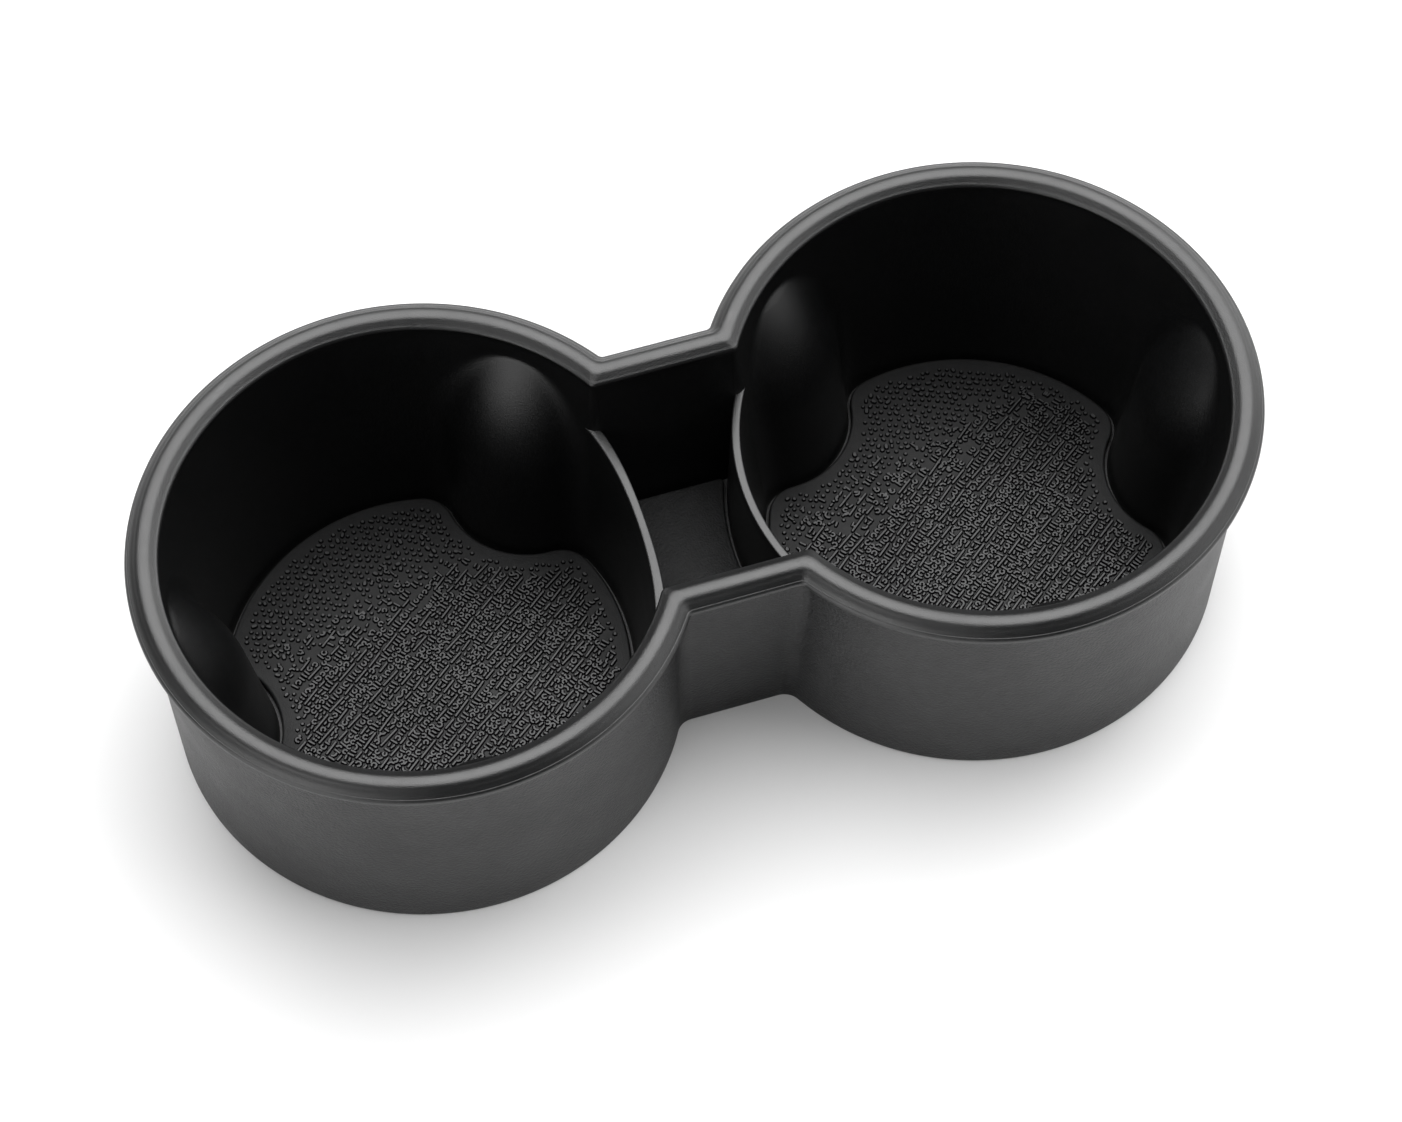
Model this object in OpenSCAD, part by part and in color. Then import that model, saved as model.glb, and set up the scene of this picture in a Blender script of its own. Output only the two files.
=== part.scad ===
// Drop-in cup holder for a car's centre console: one moulded tray with two tapered cups and a
// small compartment between them, and three loose mats on its floors.
// X runs along the tray from the left cup to the right, -Y is the front, +Z is up.
// The origin is the middle of the underside.

/* [Overall] */
// Height from the underside to the top of the rim
height = 52.4; // [42:0.1:64]
// Clear width of each cup at its mouth
mouth_d = 86.8; // [70:0.1:104]
// Lean of the inner walls from the vertical, in degrees
cup_taper = 8; // [6:0.1:9.6]
// Smallest distance between the mouths of the two cups
mouth_gap = 15; // [12:0.1:19]
// Clear width of the middle compartment at the rim
middle_w = 42.4; // [34:0.1:51]

/* [Walls] */
// Thickness of the cups' inner walls
liner_wall = 2.2; // [1.7:0.05:2.7]
// Thickness of the outer skirt at its lower edge
skirt_wall = 1.9; // [1.5:0.05:2.3]
// Thickness of the cup floors
floor_wall = 2; // [1.6:0.05:2.4]
// Clear space under the cup floors
floor_lift = 1.5; // [1.2:0.05:1.8]
// Distance that a cup's skirt draws in from the rim to its lower edge
skirt_lean = 1.1; // [0.8:0.05:1.4]
// Distance that the skirt of the bridge draws in from the rim to its lower edge
bridge_lean = 3.8; // [3:0.05:4.6]
// Radius of the inside corners between bridge and cups, at the rim's lip
corner_r = 1.2; // [0.9:0.05:1.5]
// Radius of the upright edges where the cups open into the middle, at the mouth
edge_r = 0.8; // [0.65:0.05:0.95]

/* [Rim] */
// Width of the rim, from the mouth's edge to the lip
rim_w = 5.6; // [4.8:0.05:6.7]
// Depth of the mouth's edge under the top of the rim
mouth_drop = 1.8; // [1.5:0.05:2.2]
// Radius of the bead on top of the rim
crown_r = 1.55; // [1.25:0.05:1.85]
// Distance of the top bead from the mouth's edge
crown_in = 2.35; // [1.95:0.05:2.8]
// Radius of the small bead round the lip
lip_r = 0.95; // [0.75:0.05:1.15]
// Depth of the lip under the top of the rim
lip_drop = 1.6; // [1.3:0.05:1.9]
// Distance that the lip stands out over the skirt
lip_reach = 2.3; // [1.9:0.05:2.7]
// Height of the flare under the lip
flare_h = 4.4; // [3.6:0.05:5.2]
// Distance that the flare stands out over the skirt
flare_out = 0.8; // [0.65:0.05:0.95]

/* [Middle compartment] */
// Height of its floor above the underside
middle_floor = 16; // [13:0.1:19]
// Depth of the two partitions' tops under the top of the rim
partition_drop = 13.9; // [11.5:0.1:16.5]
// Thickness of a partition at its top
partition_wall = 1.55; // [1.25:0.05:1.85]
// Distance that a partition's middle side leans out from its top to the floor
partition_lean = 0.7; // [0.55:0.05:0.85]

/* [Grip lobes] */
// Distance that a lobe stands into the cup
lobe_out = 8.6; // [7:0.1:10.2]
// Radius of a lobe's nose
lobe_r = 15.5; // [12.6:0.1:18.4]
// Radius of the shoulders that blend a lobe into the wall
shoulder_r = 6; // [4.9:0.1:7.1]
// Depth under the top of the rim at which a lobe begins
lobe_drop = 5.4; // [4.4:0.1:6.4]
// Height over which a lobe swells to its full depth
lobe_rise = 22; // [18:0.1:26]
// Angle of the two back lobes beside the middle, from the tray's length
lobe_angle = 50; // [41:0.5:59]
// Angle of the two front lobes, from the tray's length
front_angle = 90; // [75:0.5:105]

/* [Mats] */
// Thickness of the mats
mat_t = 2; // [1.6:0.05:2.4]
// Gap between a mat's edge and the wall round it
mat_gap = 0.5; // [0.4:0.05:0.6]

/* [Hidden] */
$fn = 96;
moulding = "#232426";
mat_rubber = "#3a3b3d";
// Steps across a lobe, steps over its swelling top and steps over its straight foot
LOBE_ACROSS = 24;
LOBE_TOP_STEPS = 11;
LOBE_FOOT_STEPS = 3;
// Spans of the hidden back of a lobe, which lies inside the wall
LOBE_BACK = 5;
// Depth to which one surface sinks into another where they blend
sink = 0.2;
// Overlap of solids that are joined
bite = 1;
// Step between surfaces that would otherwise coincide
hair = 0.03;

mouth_r = mouth_d / 2;
mouth_z = height - mouth_drop;
floor_z = floor_lift + floor_wall;
lip_at = mouth_r + rim_w;
half_w = middle_w / 2;
cup_x = (mouth_d + mouth_gap) / 2;
slope = tan(cup_taper);
partition_z = height - partition_drop;
lobe_top = height - lobe_drop;
lobe_full = lobe_top - lobe_rise;

// The lip's bead and the flare under it
lip_z = height - lip_drop - lip_r;
flare_z = lip_z - lip_r;
rim_foot = flare_z - flare_h;
// Distance of the skirt from the mouth's edge, under the flare
skirt_at = rim_w - lip_reach;
// Radius of a cup's skirt and half width of the bridge at the lower edge
skirt_foot = mouth_r + skirt_at - skirt_lean;
bridge_foot = half_w + skirt_at - bridge_lean;
// Inside of a cup's skirt, which stands upright
skirt_in = skirt_foot - skirt_wall;
// Underside of the middle compartment's floor
middle_under = middle_floor - floor_wall;

// The inside corner between a cup and the bridge turns about this point, outside the lip
corner_y = half_w + rim_w + corner_r;
corner_x = cup_x - sqrt(pow(lip_at + corner_r, 2) - pow(corner_y, 2));
corner_turn = atan2(cup_x - corner_x, corner_y);

// The upright edge where a cup opens into the middle turns about this point
edge_y = half_w + edge_r;
edge_x = cup_x - sqrt(pow(mouth_r + edge_r, 2) - pow(edge_y, 2));
edge_turn = atan2(cup_x - edge_x, edge_y);

// Lobes of one cup, as angles from the direction that points away from the middle
lobe_turns = [0, 180 - lobe_angle, -front_angle];

// Radius of a cup's inner wall at a height
function wall_r(z) = mouth_r - (mouth_z - z) * slope;
// Radius of a partition's middle side at a height
function partition_r(z) = wall_r(partition_z) + partition_wall
    + partition_lean * (partition_z - z) / (partition_z - middle_floor);
// Smooth step from 0 to 1
function ease(t) = let (u = min(1, max(0, t))) u * u * (3 - 2 * u);
// Distance that a lobe stands into the cup at a height
function lobe_depth(z) = lobe_out * ease((lobe_top - z) / lobe_rise);
// Half the angle that a lobe takes up, where the wall has radius r and the lobe stands out by d
function lobe_half(r, d) = let (c = r - d + lobe_r, s = r - shoulder_r)
    acos((s * s + c * c - pow(lobe_r + shoulder_r, 2)) / (2 * s * c));
// Radius of the inner wall at an angle from a lobe's middle: nose, then shoulder, then wall
function lobe_edge(a, r, d) = let (
    c = r - d + lobe_r,
    s = r - shoulder_r,
    half = lobe_half(r, d),
    part = lobe_r / (lobe_r + shoulder_r),
    turn = atan2(s * sin(half) * part, c + (s * cos(half) - c) * part))
    abs(a) >= half ? r
    : abs(a) > turn ? s * cos(abs(a) - half) + sqrt(pow(shoulder_r, 2) - pow(s * sin(abs(a) - half), 2))
    : c * cos(a) - sqrt(pow(lobe_r, 2) - pow(c * sin(a), 2));
function polar(r, a, z) = [r * cos(a), r * sin(a), z];

// Points along a round stretch
function arc(centre, r, from, to, steps) =
    [for (i = [0 : steps]) let (a = from + (to - from) * i / steps) centre + r * [cos(a), sin(a)]];

// Section of the rim, with X as the distance outward from the mouth's edge: a sloped band up to
// the top bead, a groove, the lip's small bead and the flare under it
module rim_section(less = 0) {
    // Reach into the mouth, which the hollows take away again
    over = 2.5;
    // Depth of the flare's foot inside the skirt
    foot_in = 0.08;
    // Shares of the flare's reach at its top and at its bend, and of its height at the bend
    flare_start = 0.9;
    flare_bend = [0.4, 0.35];
    crown = [crown_in, height - crown_r];
    lip = [rim_w - lip_r, lip_z];
    edge = [0, mouth_z - less];
    band = atan2(crown[1] - edge[1], crown[0]) + asin((crown_r - less) / norm(crown - edge));
    polygon(concat(
        [[-over, rim_foot], [-over, edge[1] - over * tan(band)]],
        arc(crown, crown_r - less, 90 + band, -20, 11),
        arc(lip, lip_r - less, 115, -75, 8),
        [
            [skirt_at + flare_out * flare_start - less, flare_z + less],
            [skirt_at + flare_out * flare_bend[0] - less, flare_z - flare_h * flare_bend[1]],
            [skirt_at - foot_in - less, rim_foot],
        ]
    ));
}

// Runs a section round the two cups and the two sides of the bridge
module round_sides() {
    away = 90 - corner_turn;
    for (turn = [0, 180]) rotate([0, 0, turn]) {
        translate([cup_x, 0, 0]) rotate([0, 0, 180 + away]) rotate_extrude(angle = 360 - 2 * away)
            translate([mouth_r, 0]) children();
        rotate([90, 0, 90]) translate([0, 0, -corner_x]) linear_extrude(2 * corner_x)
            translate([half_w, 0]) children();
    }
}

// Runs a section round the four inside corners and a little way into the sides
module round_corners() {
    past = 1.5;
    each_corner() translate([corner_x, corner_y, 0]) rotate([0, 0, 270 - past])
        rotate_extrude(angle = corner_turn + 2 * past)
            translate([rim_w + corner_r, 0]) mirror([1, 0]) children();
}

// The corners' section is finer by a hair, so that its ends sink into the sides
module rim() {
    round_sides() rim_section();
    round_corners() rim_section(hair);
}

// Draws a child once for each cup: the left cup is the right one turned about the origin
module each_cup() {
    for (turn = [0, 180]) rotate([0, 0, turn]) translate([cup_x, 0, 0]) children();
}

// Draws a child at all four inside corners
module each_corner() {
    for (x = [0, 1], y = [0, 1]) mirror([x, 0, 0]) mirror([0, y, 0]) children();
}

// Prism across the middle, between walls that stand at half widths low and high
module middle_prism(z0, z1, low, high, reach) {
    rotate([90, 0, 90]) translate([0, 0, -reach]) linear_extrude(2 * reach)
        polygon([[-low, z0], [low, z0], [high, z1], [-high, z1]]);
}

// Outside of the skirt under the rim, still solid
module skirt_body() {
    top = rim_foot + bite;
    grow = top / rim_foot;
    each_cup() cylinder(r1 = skirt_foot, r2 = skirt_foot + skirt_lean * grow, h = top);
    middle_prism(0, top, bridge_foot, bridge_foot + bridge_lean * grow, cup_x / 2);
    each_corner() skirt_corner();
}

// Rounded inside corner of the skirt, between bridge and cup
module skirt_corner() {
    r = corner_r + lip_reach;
    base_y = bridge_foot + r;
    base_x = cup_x - sqrt(pow(skirt_foot + r, 2) - pow(base_y, 2));
    run = [corner_x - base_x, corner_y - base_y, rim_foot];
    side = atan2(run[1], run[0]);
    tilt = acos(run[2] / norm(run));
    toward = atan2(-base_y, cup_x - base_x);
    halfway = (toward - 90) / 2;
    inset = sink * 0.7;
    far = 2.2 * r;
    intersection() {
        translate([0, 0, rim_foot / 2]) cube([2 * cup_x, 4 * base_y, rim_foot], center = true);
        translate([base_x, base_y, 0]) rotate(a = tilt, v = [-sin(side), cos(side), 0])
            translate([0, 0, -r]) difference() {
                linear_extrude(rim_foot + 3 * r) polygon([
                    [0, 0],
                    [0, -r - bite],
                    far * [cos(halfway), sin(halfway)],
                    (r + bite) * [cos(toward), sin(toward)],
                ]);
                translate([inset * cos(halfway), inset * sin(halfway), -bite])
                    cylinder(r = r, h = rim_foot + 4 * r);
            }
    }
}

// Inside of the cups and of the middle compartment
module hollows() {
    above = height + 5;
    each_cup() translate([0, 0, floor_z])
        cylinder(r1 = wall_r(floor_z), r2 = wall_r(above), h = above - floor_z);
    difference() {
        middle_prism(middle_floor, above, half_w - (mouth_z - middle_floor) * slope,
            half_w - (mouth_z - above) * slope, cup_x);
        each_cup() translate([0, 0, middle_floor - bite]) cylinder(
            r1 = partition_r(middle_floor - bite),
            r2 = partition_r(partition_z),
            h = partition_z - middle_floor + bite
        );
    }
    each_corner() edge_round();
}

// Rounds the upright edge where a cup's inner wall meets the middle compartment's wall
module edge_round() {
    above = height + bite;
    foot_r = edge_r + hair + (mouth_z - partition_z + bite) * slope;
    reach = 1.6 * foot_r;
    translate([edge_x, edge_y, partition_z]) difference() {
        linear_extrude(above - partition_z) polygon([
            [0, 0],
            [0, -reach],
            reach / cos(edge_turn / 2) * [sin(edge_turn / 2), -cos(edge_turn / 2)],
            reach * [sin(edge_turn), -cos(edge_turn)],
        ]);
        translate([0, 0, -bite]) cylinder(
            r1 = foot_r,
            r2 = foot_r - (above - partition_z + 2 * bite) * slope,
            h = above - partition_z + 2 * bite
        );
    }
}

// Space that is open from below, between the skirt and the cups' own walls. The slot narrows
// upward and ends where it is slot_min wide.
module underside() {
    slot_min = 0.9;
    slot_top = mouth_z - (mouth_r + liner_wall - skirt_in + slot_min) / slope;
    low = bridge_foot - skirt_wall;
    // The slot leaves the middle compartment's walls and floor standing, up to this distance
    kept = corner_x + corner_r;
    difference() {
        union() {
            each_cup() translate([0, 0, -bite]) cylinder(r = skirt_in, h = slot_top + bite);
            middle_prism(-bite, middle_under, low, low, cup_x / 2);
        }
        each_cup() translate([0, 0, floor_lift]) cylinder(
            r1 = wall_r(floor_lift) + liner_wall,
            r2 = wall_r(height) + liner_wall,
            h = height - floor_lift
        );
        difference() {
            translate([-kept, -corner_y, middle_under]) cube([2 * kept, 2 * corner_y, height]);
            each_cup() cylinder(r = wall_r(partition_z), h = height);
        }
    }
}

// Hollow behind a lobe, open from below, with the wall's own thickness in front of it
module lobe_pocket() {
    nose_r = lobe_r - liner_wall;
    nose_x = wall_r(floor_z) - lobe_out + lobe_r;
    at_full = nose_x - (wall_r(lobe_full) - lobe_out + liner_wall);
    // The hollow ends at this share of the lobe's swelling top, with a blunt tip
    tip_share = 0.45;
    tip_r = 2;
    tip_clear = 0.5;
    tip_z = lobe_full + lobe_rise * tip_share;
    at_tip = nose_x - (wall_r(tip_z) - lobe_depth(tip_z) + liner_wall) - tip_clear;
    // The hollow stays this far inside the skirt, which leaves a ledge round the slot's top
    ledge = 0.4;
    intersection() {
        translate([nose_x, 0, -bite]) rotate_extrude() polygon([
            [0, 0],
            [nose_r, 0],
            [min(nose_r, at_full), lobe_full + bite],
            [max(tip_r, at_tip), tip_z + bite],
            [0, tip_z + bite],
        ]);
        cylinder(r = skirt_in - ledge, h = 2 * height, center = true);
    }
}

// One lobe: rings of points, joined into a closed skin
module lobe() {
    foot = floor_z - floor_wall / 2;
    levels = concat(
        [for (i = [0 : LOBE_FOOT_STEPS - 1]) foot + (lobe_full - foot) * i / LOBE_FOOT_STEPS],
        [for (i = [0 : LOBE_TOP_STEPS]) lobe_full + lobe_rise * i / LOBE_TOP_STEPS]
    );
    rings = [for (z = levels) lobe_ring(z)];
    count = len(rings[0]);
    last = len(rings) - 1;
    polyhedron(
        points = [for (ring = rings) each ring],
        faces = concat(
            [[for (j = [0 : count - 1]) j]],
            [for (i = [0 : last - 1], j = [0 : count - 1]) [
                i * count + j,
                (i + 1) * count + j,
                i * count + (j + 1) % count
            ]],
            [for (i = [0 : last - 1], j = [0 : count - 1]) [
                i * count + (j + 1) % count,
                (i + 1) * count + j,
                (i + 1) * count + (j + 1) % count
            ]],
            [[for (j = [count - 1 : -1 : 0]) last * count + j]]
        )
    );
}
// Points round a lobe at a height: its front from one side to the other, then its hidden back
function lobe_ring(z) = let (
    r = wall_r(z) + sink,
    d = lobe_depth(z) + sink * 1.2,
    back = r + liner_wall / 2,
    past = 1,
    half = lobe_half(r, d) + past,
    front_turns = [for (j = [0 : LOBE_ACROSS]) half * (1 - 2 * j / LOBE_ACROSS)],
    back_turns = [for (j = [0 : LOBE_BACK]) half * (2 * j / LOBE_BACK - 1)])
    concat(
        [for (a = front_turns) polar(lobe_edge(a, r, d), a, z)],
        [for (a = back_turns) polar(back, a, z)]
    );

// Draws a child at every lobe: the left cup's lobes mirror those of the right cup
module lobes() {
    for (side = [0, 1]) mirror([side, 0, 0]) translate([cup_x, 0, 0])
        for (turn = lobe_turns) rotate([0, 0, turn]) children();
}

module tray() {
    color(moulding) difference() {
        union() {
            difference() {
                union() {
                    skirt_body();
                    rim();
                }
                hollows();
                underside();
            }
            lobes() lobe();
        }
        lobes() lobe_pocket();
    }
}

// Outline of a cup's floor, drawn in by a gap
module cup_outline(gap) {
    r = wall_r(floor_z) - gap;
    steps = 180;
    polygon([for (i = [0 : steps - 1]) let (a = 360 * i / steps) outline_r(a, r) * [cos(a), sin(a)]]);
}
// The nearest lobe decides where the outline runs
function outline_r(a, r) = min([for (turn = lobe_turns)
    lobe_edge(((a - turn + 540) % 360) - 180, r, lobe_out)]);

module cup_mat() {
    translate([cup_x, 0, floor_z]) linear_extrude(mat_t) cup_outline(mat_gap);
}

module right_mat() {
    color(mat_rubber) cup_mat();
}

module left_mat() {
    color(mat_rubber) mirror([1, 0, 0]) cup_mat();
}

module middle_mat() {
    wide = half_w - (mouth_z - middle_floor) * slope - mat_gap;
    color(moulding) translate([0, 0, middle_floor]) linear_extrude(mat_t) difference() {
        square([cup_x, 2 * wide], center = true);
        for (side = [-1, 1]) translate([side * cup_x, 0])
            circle(r = partition_r(middle_floor) + mat_gap);
    }
}

tray();
left_mat();
right_mat();
middle_mat();
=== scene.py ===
"""Dresses the drop-in cup holder: a smooth tray with rolled rim and grip lobes, two embossed cup
mats and a plain middle mat, in soft studio light. Sizes are in millimetres until a mesh is made."""
import math
import bmesh
import bpy
import numpy as np
from mathutils import Matrix, Vector


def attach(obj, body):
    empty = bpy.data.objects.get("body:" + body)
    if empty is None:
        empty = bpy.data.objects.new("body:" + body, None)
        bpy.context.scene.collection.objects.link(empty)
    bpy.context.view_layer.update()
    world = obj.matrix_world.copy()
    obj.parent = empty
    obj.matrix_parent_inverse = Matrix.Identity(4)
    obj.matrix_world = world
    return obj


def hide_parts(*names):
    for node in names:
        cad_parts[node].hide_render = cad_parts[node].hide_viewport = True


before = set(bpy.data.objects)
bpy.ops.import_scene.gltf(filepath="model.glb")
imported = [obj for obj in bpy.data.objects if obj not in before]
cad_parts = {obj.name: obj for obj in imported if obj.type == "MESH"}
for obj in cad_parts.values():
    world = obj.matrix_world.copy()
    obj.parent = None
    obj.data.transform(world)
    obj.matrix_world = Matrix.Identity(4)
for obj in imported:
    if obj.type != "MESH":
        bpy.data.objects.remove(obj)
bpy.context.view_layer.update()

MM = 0.001

# ---------------------------------------------------------------- sizes, as in the part's source
HEIGHT = 52.4
MOUTH_R = 43.4
CUP_X = 50.9
SLOPE = math.tan(math.radians(8))
HALF_W = 21.2
LINER_WALL = 2.2
SKIRT_WALL = 1.9
FLOOR_WALL = 2.0
FLOOR_LIFT = 1.5
SKIRT_LEAN = 1.1
BRIDGE_LEAN = 3.8
CORNER_R = 1.2
EDGE_R = 1.4
RIM_BEND_AT = 2.4  # distance out from the mouth where the crown's corners are widest
RIM_BEND_R = 3.2
RIM_W = 5.6
LIP_R = 0.95
LIP_ROUND = 0.85
LIP_REACH = 2.3
FLARE_H = 4.4
FLARE_OUT = 0.8
FOOT_ROUND = 0.5
MIDDLE_FLOOR = 16.0
PARTITION_WALL = 1.55
PARTITION_LEAN = 0.7
PARTITION_ROUND = 0.32
LEFT_EASE = 2.4  # the left partition bows less than the round of its cup
LOBE_OUT = 8.6
LOBE_R = 15.5
SHOULDER_R = 6.0
LOBE_RISE = 22.0
LOBE_FULLNESS = 0.65
LOBE_TURNS = (0.0, 130.0, -90.0)
SLOT_MIN = 0.9
MAT_T = 2.0
MAT_GAP = 0.5
MAT_ROUND = 0.5
MIDDLE_MAT_CORNER = 0.9

MOUTH_Z = HEIGHT - 1.8
FLOOR_Z = FLOOR_LIFT + FLOOR_WALL
LIP_Z = HEIGHT - 1.6 - LIP_R
FLARE_Z = LIP_Z - LIP_R
RIM_FOOT = FLARE_Z - FLARE_H
SKIRT_AT = RIM_W - LIP_REACH
SKIRT_FOOT = MOUTH_R + SKIRT_AT - SKIRT_LEAN
BRIDGE_FOOT = HALF_W + SKIRT_AT - BRIDGE_LEAN
SKIRT_IN = SKIRT_FOOT - SKIRT_WALL
PARTITION_Z = HEIGHT - 13.9
LOBE_TOP = HEIGHT - 5.4
LOBE_FULL = LOBE_TOP - LOBE_RISE

# Bends of the rim's top, from the lip to the mouth: (towards, end, steps), points (out, up)
RIM_BENDS = (
    ((5.06, 50.84), (5.0, 50.92), 3),
    ((4.65, 51.4), (3.95, 51.82), 6),  # sloped shoulder
    ((3.55, 52.2), (3.1, 52.32), 6),
    ((2.5, 52.465), (1.75, 52.34), 8),  # broad crown
    ((1.35, 52.27), (1.05, 52.06), 6),
    ((0.6, 51.76), (0.15, 51.46), 3),
    ((-0.12, 51.37), (-0.28, 50.95), 8),  # bead at the mouth
)

# Embossing: how far marks rise, plain border, and width of their flanks' foot and top
MARK_RISE = 0.36
MARK_SUNK = 0.04
MARK_FOOT = 0.5
MARK_TOP = 0.04
MAT_BORDER = 2.1
MAT_EDGE_ZONE = 3.6
ROW_TURN = 37.5
ROW_PITCH = 2.35
MARK_REACH = 40
DOT_STEP = 1.36
DOT_ROW = 1.2
DOTS_FROM = 16.5
DOTS_SLANT = 0.35
DOTS_RAGGED = 3.6

# Mesh steps round a quarter of the tray, and along a partition
CUP_STEPS = 150
CORNER_STEPS = 12
BRIDGE_STEPS = 8
PARTITION_STEPS = 44

OUTER, RIM, INNER = range(3)

# Centres of the rim's inside corners and of the tight upright edges inside
CORNER_Y = HALF_W + RIM_W + CORNER_R
CORNER_X = CUP_X - math.sqrt((MOUTH_R + RIM_W + CORNER_R) ** 2 - CORNER_Y**2)
EDGE_Y = HALF_W + EDGE_R
EDGE_X = CUP_X - math.sqrt((MOUTH_R + EDGE_R) ** 2 - EDGE_Y**2)
EDGE_TURN = math.atan2(EDGE_Y, EDGE_X - CUP_X)


def wall_r(z):
    """Radius of a cup's inner wall."""
    return MOUTH_R - (MOUTH_Z - z) * SLOPE


def half_at(z):
    """Half width of the middle compartment."""
    return HALF_W - (MOUTH_Z - z) * SLOPE


def partition_r(z):
    """Radius of a partition's middle side."""
    lean = PARTITION_LEAN * (PARTITION_Z - z) / (PARTITION_Z - MIDDLE_FLOOR)
    return wall_r(PARTITION_Z) + PARTITION_WALL + lean


def partition_ease(z, turns, side):
    """Distance that a partition stands further into its cup than the round does, at angles about
    the cup: all of it at the top, none at the cup's floor."""
    if side > 0:
        return np.zeros_like(turns)
    up = min(1.0, (z - FLOOR_Z) / (PARTITION_Z - FLOOR_Z))
    start = turns.min()
    return LEFT_EASE * up * np.sin(np.pi * (turns - start) / (turns.max() - start))


def middle_end(z):
    """Distance from the middle to where a partition meets the compartment's wall."""
    return CUP_X - math.sqrt(partition_r(z) ** 2 - half_at(z) ** 2)


# Shares of the run from a corner to the middle; the first is a partition's end
END_SHARE = middle_end(PARTITION_Z) / EDGE_X
BRIDGE_SHARES = np.r_[END_SHARE, np.linspace(END_SHARE, 0, BRIDGE_STEPS)[1:]]


def lobe_depth(z):
    """Distance that a lobe stands into the cup at a height, with a full round top."""
    t = min(1.0, max(0.0, (LOBE_TOP - z) / LOBE_RISE))
    even = t * t * (3 - 2 * t)
    full = 1 - (1 - t) ** 3
    start = min(1.0, t / 0.06)
    return LOBE_OUT * (even + (full - even) * LOBE_FULLNESS * start * (2 - start))


def lobe_edge(turn, r, depth):
    """Radius of the inner wall at angles from a lobe's middle: nose, shoulder, wall."""
    a = np.abs(turn)
    edge = np.full_like(a, r)
    if depth < 0.01:
        return edge
    nose = r - depth + LOBE_R
    side = r - SHOULDER_R
    span = LOBE_R + SHOULDER_R
    half = math.acos((side**2 + nose**2 - span**2) / (2 * side * nose))
    part = LOBE_R / span
    meet = math.atan2(side * math.sin(half) * part, nose + (side * math.cos(half) - nose) * part)
    on_side = (a < half) & (a > meet)
    b = a[on_side] - half
    edge[on_side] = side * np.cos(b) + np.sqrt(SHOULDER_R**2 - (side * np.sin(b)) ** 2)
    on_nose = a <= meet
    b = a[on_nose]
    edge[on_nose] = nose * np.cos(b) - np.sqrt(LOBE_R**2 - (nose * np.sin(b)) ** 2)
    return edge


def cup_edge(angle, r, depth):
    """Radius of a cup's inner wall at angles from the outward direction, lobes included."""
    edge = np.full_like(angle, r)
    for turn in LOBE_TURNS:
        away = np.mod(angle - math.radians(turn) + math.pi, 2 * math.pi) - math.pi
        edge = np.minimum(edge, lobe_edge(away, r, depth))
    return edge


# ---------------------------------------------------------------- the tray's outline at a level
def plan_quarter(radius, half, corner, depth=0.0, side=1):
    """Outline from the cup's outer end to the middle of the bridge: cup, inside corner, side.
    side is 1 at the back and -1 at the front, where the lobes stand elsewhere."""
    rise = half + corner
    corner_x = CUP_X - math.sqrt((radius + corner) ** 2 - rise**2)
    meet = math.atan2(rise, corner_x - CUP_X)
    a = np.linspace(0, meet, CUP_STEPS + 1)
    r = cup_edge(a * side, radius, depth)
    start = math.atan2(-rise, CUP_X - corner_x)
    b = np.linspace(start, -math.pi / 2, CORNER_STEPS + 1)[1:]
    x = corner_x * BRIDGE_SHARES
    return np.vstack([
        np.c_[CUP_X + r * np.cos(a), r * np.sin(a)],
        np.c_[corner_x + corner * np.cos(b), rise + corner * np.sin(b)],
        np.c_[x, np.full_like(x, half)],
    ])


def whole_outline(back, front):
    """The closed outline, counter-clockwise, from its back and front quarters."""
    return np.vstack([
        back,
        back[::-1][1:] * (-1, 1),
        front[1:] * (-1, -1),
        front[::-1][1:-1] * (1, -1),
    ])


QUARTER = CUP_STEPS + CORNER_STEPS + BRIDGE_STEPS
RING = 4 * QUARTER


def parallel_level(d, z):
    """Level of the rim that runs at the distance d outside the mouth's edge, corners tight."""
    corner = np.interp(d, (0, RIM_BEND_AT, RIM_W), (EDGE_R, RIM_BEND_R, CORNER_R))
    quarter = plan_quarter(MOUTH_R + d, HALF_W + d, corner)
    flat = whole_outline(quarter, quarter)
    return np.c_[flat, np.full(len(flat), z)]


def inner_level(z, depth=0.0):
    """Level of the inner walls, with their tight upright edges."""
    corner = EDGE_R + (MOUTH_Z - z) * SLOPE
    back, front = (plan_quarter(wall_r(z), half_at(z), corner, depth, side) for side in (1, -1))
    flat = whole_outline(back, front)
    return np.c_[flat, np.full(len(flat), z)]


def skirt_level(z, inset=0.0):
    """Level of the outer skirt, which leans in towards its lower edge."""
    up = z / RIM_FOOT
    quarter = plan_quarter(
        SKIRT_FOOT + SKIRT_LEAN * up - inset,
        BRIDGE_FOOT + BRIDGE_LEAN * up - inset,
        CORNER_R + LIP_REACH + inset,
    )
    flat = whole_outline(quarter, quarter)
    return np.c_[flat, np.full(len(flat), z)]


def curve(a, b, c, steps):
    """Points of a smooth bend from a to c that starts and ends towards b, both ends included."""
    t = np.linspace(0, 1, steps + 1)[:, None]
    a, b, c = (np.array(p, float) for p in (a, b, c))
    return (1 - t) ** 2 * a + 2 * t * (1 - t) * b + t**2 * c


def arc(centre, r, first, last, steps):
    """Points of a round stretch in the rim's section, angles in degrees."""
    a = np.radians(np.linspace(first, last, steps + 1))
    return np.c_[centre[0] + r * np.cos(a), centre[1] + r * np.sin(a)]


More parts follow.
